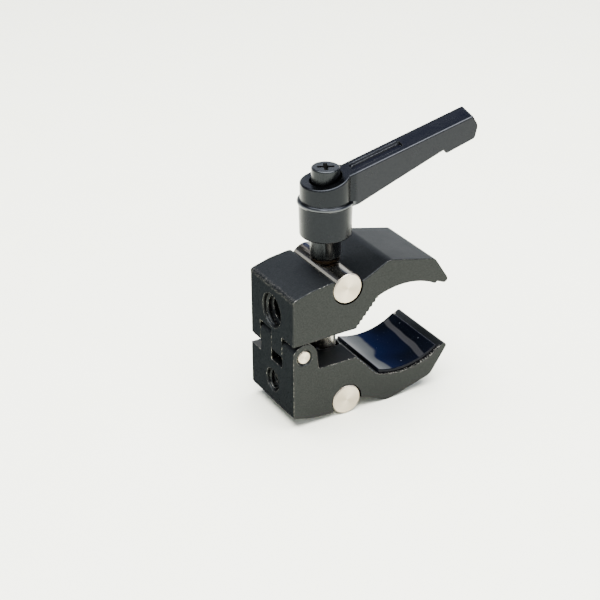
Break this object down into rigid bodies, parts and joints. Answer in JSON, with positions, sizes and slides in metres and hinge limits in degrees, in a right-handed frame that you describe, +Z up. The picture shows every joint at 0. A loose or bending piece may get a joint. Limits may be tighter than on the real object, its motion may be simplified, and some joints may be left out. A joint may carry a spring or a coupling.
{
  "type": "super clamp",
  "caption": "Small super clamp with two hinged toothed jaws, a padded lower seat, a clamp screw through cross barrels and an indexing lever.",
  "frame": {"origin": "middle of the clamp's footprint, on the surface that it stands on", "axes": "+X from the flat back face to the jaw tips, +Y along the hinge pin, +Z up along the clamp screw at rest"},
  "size_m": [0.0592, 0.0266, 0.0841],
  "materials": {
    "coated_aluminium": "black textured coat",
    "coated_zinc": "black satin coat",
    "bright_steel": "turned and lightly brushed",
    "dark_steel": "blackened",
    "spring_steel": "drawn wire",
    "bronze": "plain, greased",
    "dark_vinyl": "glossy"
  },
  "bodies": {
    "lower_jaw": {"lower_jaw": "coated_aluminium", "hinge_pin": "bright_steel", "jaw_pad": "dark_vinyl"},
    "upper_jaw": {"upper_jaw": "coated_aluminium"},
    "upper_barrel": {"upper_barrel": "bright_steel", "thrust_washer": "bronze"},
    "clamp_screw": {"clamp_stud": "bright_steel", "serrated_insert": "dark_steel", "retaining_screw": "dark_steel"},
    "spring": {"lever_spring": "spring_steel"},
    "lever": {"lever": "coated_zinc"},
    "lower_barrel": {"lower_barrel_nut": "bright_steel"}
  },
  "joints": [
    {"name": "clamp_screw_turn", "type": "hinge", "parent": "upper_barrel", "child": "clamp_screw", "pos_m": [-0.012, 0.00125, 0.046], "axis": [0, 0, -1], "range_deg": [-1440, 1980]},
    {"name": "jaw_hinge", "type": "hinge", "parent": "lower_jaw", "child": "upper_jaw", "pos_m": [-0.0259, 0.00125, 0.0225], "axis": [0, 1, 0], "range_deg": [-16, 22]},
    {"name": "upper_barrel_swivel", "type": "hinge", "parent": "upper_jaw", "child": "upper_barrel", "pos_m": [-0.012, 0.00125, 0.0405], "axis": [0, 1, 0], "range_deg": [-11, 8]},
    {"name": "lower_barrel_swivel", "type": "hinge", "parent": "lower_jaw", "child": "lower_barrel", "pos_m": [-0.012, 0.00125, 0.0045], "axis": [0, 1, 0], "range_deg": [-8, 11]},
    {"name": "lever_index", "type": "hinge", "parent": "clamp_screw", "child": "spring", "pos_m": [-0.012, 0.00125, 0.0587], "axis": [0, 0, 1], "continuous": true},
    {"name": "lever_lift", "type": "slide", "parent": "spring", "child": "lever", "axis": [0, 0, 1], "range_m": [0, 0.0035], "stiffness_N_per_m": 400, "springref_m": -0.003, "deforming": ["lever_spring"]}
  ],
  "couplings": [
    {"joint": "jaw_hinge", "follows": "clamp_screw_turn", "ratio": 0.011111},
    {"joint": "upper_barrel_swivel", "follows": "clamp_screw_turn", "ratio": -0.0055555},
    {"joint": "lower_barrel_swivel", "follows": "clamp_screw_turn", "ratio": 0.0055555}
  ]
}
